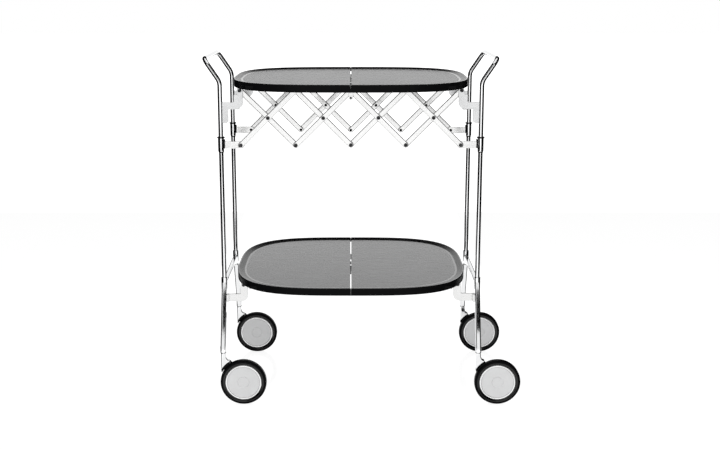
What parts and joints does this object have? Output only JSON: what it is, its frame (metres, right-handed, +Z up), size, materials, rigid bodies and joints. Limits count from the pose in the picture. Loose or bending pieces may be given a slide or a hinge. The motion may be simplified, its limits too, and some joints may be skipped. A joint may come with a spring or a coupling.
{
  "type": "folding serving trolley",
  "caption": "Folding serving trolley: chromed end frames with push handles on swivel casters, black oval split trays above and below, white lattice gates.",
  "frame": {"origin": "on the floor, under the middle of the bounding box", "axes": "+X along the trolley from one handle to the other, in the direction that the casters trail at rest; +Y across it, with the front at -Y; +Z up"},
  "size_m": [0.6813, 0.401, 0.753],
  "materials": {
    "chrome": "polished chrome plate",
    "white_lacquer": "white lacquer, satin gloss",
    "grey_lacquer": "pale grey lacquer, satin gloss",
    "tray_plastic": "black moulded plastic, satin",
    "fork_plastic": "black moulded plastic, satin",
    "wheel_plastic": "light grey moulded plastic",
    "tyre_rubber": "black rubber, slightly glossy",
    "steel": "dark burnished steel"
  },
  "bodies": {
    "left_frame": {"handle_tube_left": "chrome", "leg_frame_left": "chrome", "upper_bracket_left_front": "grey_lacquer", "upper_bracket_left_rear": "grey_lacquer", "lower_bracket_left_front": "white_lacquer", "lower_bracket_left_rear": "white_lacquer"},
    "right_frame": {"handle_tube_right": "chrome", "leg_frame_right": "chrome", "upper_bracket_right_front": "grey_lacquer", "upper_bracket_right_rear": "grey_lacquer", "lower_bracket_right_front": "white_lacquer", "lower_bracket_right_rear": "white_lacquer"},
    "upper_tray_left": {"upper_tray_left": "tray_plastic", "upper_seam_pin": "steel"},
    "upper_tray_right": {"upper_tray_right": "tray_plastic"},
    "lower_tray_left": {"lower_tray_left": "tray_plastic", "lower_seam_pin": "steel"},
    "lower_tray_right": {"lower_tray_right": "tray_plastic"},
    "gate_left_1": {"gate_link_left_front_1": "white_lacquer", "gate_link_left_rear_1": "white_lacquer"},
    "gate_left_2": {"gate_link_left_front_2": "white_lacquer", "gate_link_left_rear_2": "white_lacquer"},
    "gate_left_3": {"gate_link_left_front_3": "white_lacquer", "gate_link_left_rear_3": "white_lacquer"},
    "gate_left_4": {"gate_link_left_front_4": "white_lacquer", "gate_link_left_rear_4": "white_lacquer"},
    "sliders_left": {"slider_sleeve_left_front": "chrome", "slider_sleeve_left_rear": "chrome", "slider_arm_left_front": "white_lacquer", "slider_arm_left_rear": "white_lacquer"},
    "gate_right_1": {"gate_link_right_front_1": "white_lacquer", "gate_link_right_rear_1": "white_lacquer"},
    "gate_right_2": {"gate_link_right_front_2": "white_lacquer", "gate_link_right_rear_2": "white_lacquer"},
    "gate_right_3": {"gate_link_right_front_3": "white_lacquer", "gate_link_right_rear_3": "white_lacquer"},
    "gate_right_4": {"gate_link_right_front_4": "white_lacquer", "gate_link_right_rear_4": "white_lacquer"},
    "sliders_right": {"slider_sleeve_right_front": "chrome", "slider_sleeve_right_rear": "chrome", "slider_arm_right_front": "white_lacquer", "slider_arm_right_rear": "white_lacquer"},
    "stop_tabs": {"stop_tab_front": "white_lacquer", "stop_tab_rear": "white_lacquer"},
    "caster_left_front": {"caster_stem_left_front": "chrome", "caster_fork_left_front": "fork_plastic"},
    "wheel_left_front": {"wheel_disc_left_front": "wheel_plastic", "tyre_left_front": "tyre_rubber"},
    "caster_left_rear": {"caster_stem_left_rear": "chrome", "caster_fork_left_rear": "fork_plastic"},
    "wheel_left_rear": {"wheel_disc_left_rear": "wheel_plastic", "tyre_left_rear": "tyre_rubber"},
    "caster_right_front": {"caster_stem_right_front": "chrome", "caster_fork_right_front": "fork_plastic"},
    "wheel_right_front": {"wheel_disc_right_front": "wheel_plastic", "tyre_right_front": "tyre_rubber"},
    "caster_right_rear": {"caster_stem_right_rear": "chrome", "caster_fork_right_rear": "fork_plastic"},
    "wheel_right_rear": {"wheel_disc_right_rear": "wheel_plastic", "tyre_right_rear": "tyre_rubber"}
  },
  "joints": [
    {"name": "fold", "type": "hinge", "parent": "left_frame", "child": "upper_tray_left", "pos_m": [-0.26145, 0, 0.682], "axis": [0, -1, 0], "range_deg": [0, 82.3]},
    {"name": "upper_seam", "type": "hinge", "parent": "upper_tray_left", "child": "upper_tray_right", "pos_m": [-0.02785, 0, 0.682], "axis": [0, -1, 0], "range_deg": [-164.8, 0.2]},
    {"name": "upper_tray_to_right_frame", "type": "hinge", "parent": "upper_tray_right", "child": "right_frame", "pos_m": [0.20575, 0, 0.682], "axis": [0, -1, 0], "range_deg": [-0.2, 82.5]},
    {"name": "lower_tray_to_left_frame", "type": "hinge", "parent": "left_frame", "child": "lower_tray_left", "pos_m": [-0.26145, 0, 0.2565], "axis": [0, -1, 0], "range_deg": [-0.2, 82.5]},
    {"name": "lower_tray_to_right_frame", "type": "hinge", "parent": "right_frame", "child": "lower_tray_right", "pos_m": [0.20575, 0, 0.2565], "axis": [0, -1, 0], "range_deg": [-82.5, 0.2]},
    {"name": "gate_left_top_rivet", "type": "hinge", "parent": "left_frame", "child": "gate_left_1", "pos_m": [-0.26145, 0, 0.682], "axis": [0, -1, 0], "range_deg": [-39.76, 0.2]},
    {"name": "gate_left_outer_cross", "type": "hinge", "parent": "gate_left_1", "child": "gate_left_2", "pos_m": [-0.20305, 0, 0.6236], "axis": [0, -1, 0], "range_deg": [-0.2, 79.33]},
    {"name": "gate_left_upper_rivet", "type": "hinge", "parent": "gate_left_2", "child": "gate_left_3", "pos_m": [-0.14465, 0, 0.682], "axis": [0, -1, 0], "range_deg": [-79.33, 0.2]},
    {"name": "gate_left_lower_rivet", "type": "hinge", "parent": "gate_left_1", "child": "gate_left_4", "pos_m": [-0.14465, 0, 0.5652], "axis": [0, -1, 0], "range_deg": [-0.2, 79.33]},
    {"name": "slider_left_rivet", "type": "hinge", "parent": "gate_left_2", "child": "sliders_left", "pos_m": [-0.26145, 0, 0.5652], "axis": [0, -1, 0], "range_deg": [-39.76, 0.2]},
    {"name": "gate_right_top_rivet", "type": "hinge", "parent": "right_frame", "child": "gate_right_1", "pos_m": [0.20575, 0, 0.682], "axis": [0, -1, 0], "range_deg": [-0.2, 39.76]},
    {"name": "gate_right_outer_cross", "type": "hinge", "parent": "gate_right_1", "child": "gate_right_2", "pos_m": [0.14735, 0, 0.6236], "axis": [0, -1, 0], "range_deg": [-79.33, 0.2]},
    {"name": "gate_right_upper_rivet", "type": "hinge", "parent": "gate_right_2", "child": "gate_right_3", "pos_m": [0.08895, 0, 0.682], "axis": [0, -1, 0], "range_deg": [-0.2, 79.33]},
    {"name": "gate_right_lower_rivet", "type": "hinge", "parent": "gate_right_1", "child": "gate_right_4", "pos_m": [0.08895, 0, 0.5652], "axis": [0, -1, 0], "range_deg": [-79.33, 0.2]},
    {"name": "slider_right_rivet", "type": "hinge", "parent": "gate_right_2", "child": "sliders_right", "pos_m": [0.20575, 0, 0.5652], "axis": [0, -1, 0], "range_deg": [-0.2, 39.76]},
    {"name": "stop_tab_rivet", "type": "hinge", "parent": "gate_left_4", "child": "stop_tabs", "pos_m": [-0.02785, 0, 0.682], "axis": [0, -1, 0], "range_deg": [-39.76, 0.2]},
    {"name": "swivel_left_front", "type": "hinge", "parent": "left_frame", "child": "caster_left_front", "pos_m": [-0.30385, -0.149, 0.118], "axis": [0, 0, 1], "continuous": true},
    {"name": "roll_left_front", "type": "hinge", "parent": "caster_left_front", "child": "wheel_left_front", "pos_m": [-0.26115, -0.149, 0.05], "axis": [0, 1, 0], "continuous": true},
    {"name": "swivel_left_rear", "type": "hinge", "parent": "left_frame", "child": "caster_left_rear", "pos_m": [-0.30385, 0.149, 0.118], "axis": [0, 0, 1], "continuous": true},
    {"name": "roll_left_rear", "type": "hinge", "parent": "caster_left_rear", "child": "wheel_left_rear", "pos_m": [-0.26115, 0.149, 0.05], "axis": [0, 1, 0], "continuous": true},
    {"name": "swivel_right_front", "type": "hinge", "parent": "right_frame", "child": "caster_right_front", "pos_m": [0.24815, -0.149, 0.118], "axis": [0, 0, 1], "continuous": true},
    {"name": "roll_right_front", "type": "hinge", "parent": "caster_right_front", "child": "wheel_right_front", "pos_m": [0.29085, -0.149, 0.05], "axis": [0, 1, 0], "continuous": true},
    {"name": "swivel_right_rear", "type": "hinge", "parent": "right_frame", "child": "caster_right_rear", "pos_m": [0.24815, 0.149, 0.118], "axis": [0, 0, 1], "continuous": true},
    {"name": "roll_right_rear", "type": "hinge", "parent": "caster_right_rear", "child": "wheel_right_rear", "pos_m": [0.29085, 0.149, 0.05], "axis": [0, 1, 0], "continuous": true}
  ],
  "couplings": [
    {"joint": "upper_seam", "follows": "fold", "ratio": -2},
    {"joint": "upper_tray_to_right_frame", "follows": "fold", "ratio": 1},
    {"joint": "lower_tray_to_left_frame", "follows": "fold", "ratio": 1},
    {"joint": "lower_tray_to_right_frame", "follows": "fold", "ratio": -1},
    {"joint": "gate_left_top_rivet", "follows": "fold", "ratio": -0.48072},
    {"joint": "gate_left_outer_cross", "follows": "fold", "ratio": 0.96145},
    {"joint": "gate_left_upper_rivet", "follows": "fold", "ratio": -0.96145},
    {"joint": "gate_left_lower_rivet", "follows": "fold", "ratio": 0.96145},
    {"joint": "slider_left_rivet", "follows": "fold", "ratio": -0.48072},
    {"joint": "gate_right_top_rivet", "follows": "fold", "ratio": 0.48072},
    {"joint": "gate_right_outer_cross", "follows": "fold", "ratio": -0.96145},
    {"joint": "gate_right_upper_rivet", "follows": "fold", "ratio": 0.96145},
    {"joint": "gate_right_lower_rivet", "follows": "fold", "ratio": -0.96145},
    {"joint": "slider_right_rivet", "follows": "fold", "ratio": 0.48072},
    {"joint": "stop_tab_rivet", "follows": "fold", "ratio": -0.48072}
  ]
}
